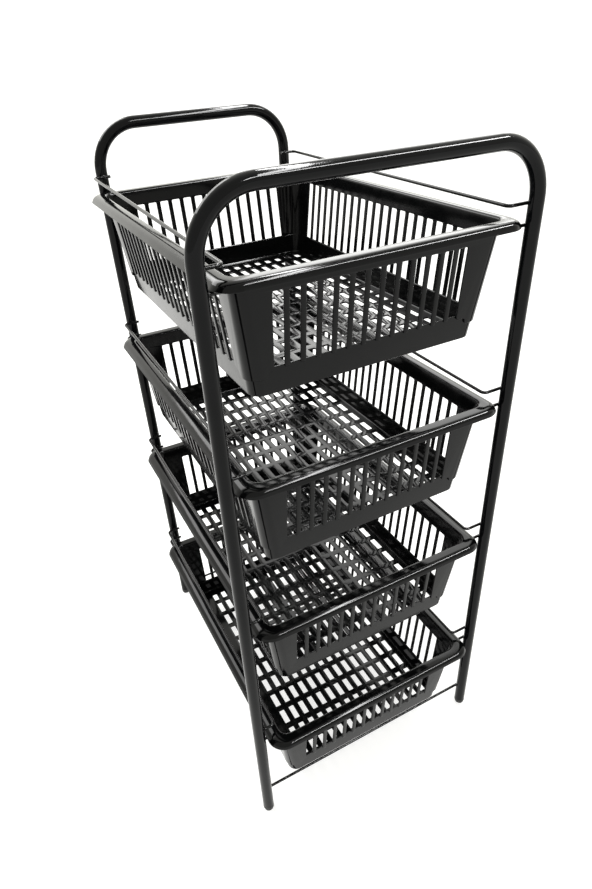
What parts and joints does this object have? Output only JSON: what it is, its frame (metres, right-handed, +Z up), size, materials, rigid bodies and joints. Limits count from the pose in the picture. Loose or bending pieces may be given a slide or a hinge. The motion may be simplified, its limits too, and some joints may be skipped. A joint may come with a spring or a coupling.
{
  "type": "tiered basket rack",
  "caption": "Free-standing rack: slotted baskets slide out on wire rails between a wide front and a narrow rear frame of bent tube.",
  "frame": {"origin": "centre of the footprint box on the floor", "axes": "+Z up, -Y towards the front, where the baskets pull out and the frame is wider, +X to the right seen from the front"},
  "size_m": [0.38, 0.5141, 0.888],
  "materials": {
    "frame_tube": "gloss",
    "rail_wire": "gloss",
    "leg_plug": "satin",
    "basket": "gloss"
  },
  "bodies": {
    "rack": {"front_frame": "frame_tube", "rear_frame": "frame_tube", "front_cross_wire": "rail_wire", "rear_cross_wire": "rail_wire", "plug_front_left": "leg_plug", "plug_front_right": "leg_plug", "plug_rear_left": "leg_plug", "plug_rear_right": "leg_plug", "guard_1_left": "rail_wire", "guard_1_right": "rail_wire", "support_1_left": "rail_wire", "support_1_right": "rail_wire", "guard_2_left": "rail_wire", "guard_2_right": "rail_wire", "support_2_left": "rail_wire", "support_2_right": "rail_wire", "guard_3_left": "rail_wire", "guard_3_right": "rail_wire", "support_3_left": "rail_wire", "support_3_right": "rail_wire", "guard_4_left": "rail_wire", "guard_4_right": "rail_wire", "support_4_left": "rail_wire", "support_4_right": "rail_wire"},
    "drawer_1": {"basket_1": "basket"},
    "drawer_2": {"basket_2": "basket"},
    "drawer_3": {"basket_3": "basket"},
    "drawer_4": {"basket_4": "basket"}
  },
  "joints": [
    {"name": "drawer_1_slide", "type": "slide", "parent": "rack", "child": "drawer_1", "axis": [0, -0.9999, 0.0143], "range_m": [0, 0.3]},
    {"name": "drawer_2_slide", "type": "slide", "parent": "rack", "child": "drawer_2", "axis": [0, -0.9999, 0.0143], "range_m": [-0.002, 0.298]},
    {"name": "drawer_3_slide", "type": "slide", "parent": "rack", "child": "drawer_3", "axis": [0, -0.9999, 0.0143], "range_m": [-0.004, 0.296]},
    {"name": "drawer_4_slide", "type": "slide", "parent": "rack", "child": "drawer_4", "axis": [0, -0.9999, 0.0143], "range_m": [-0.012, 0.288]}
  ]
}
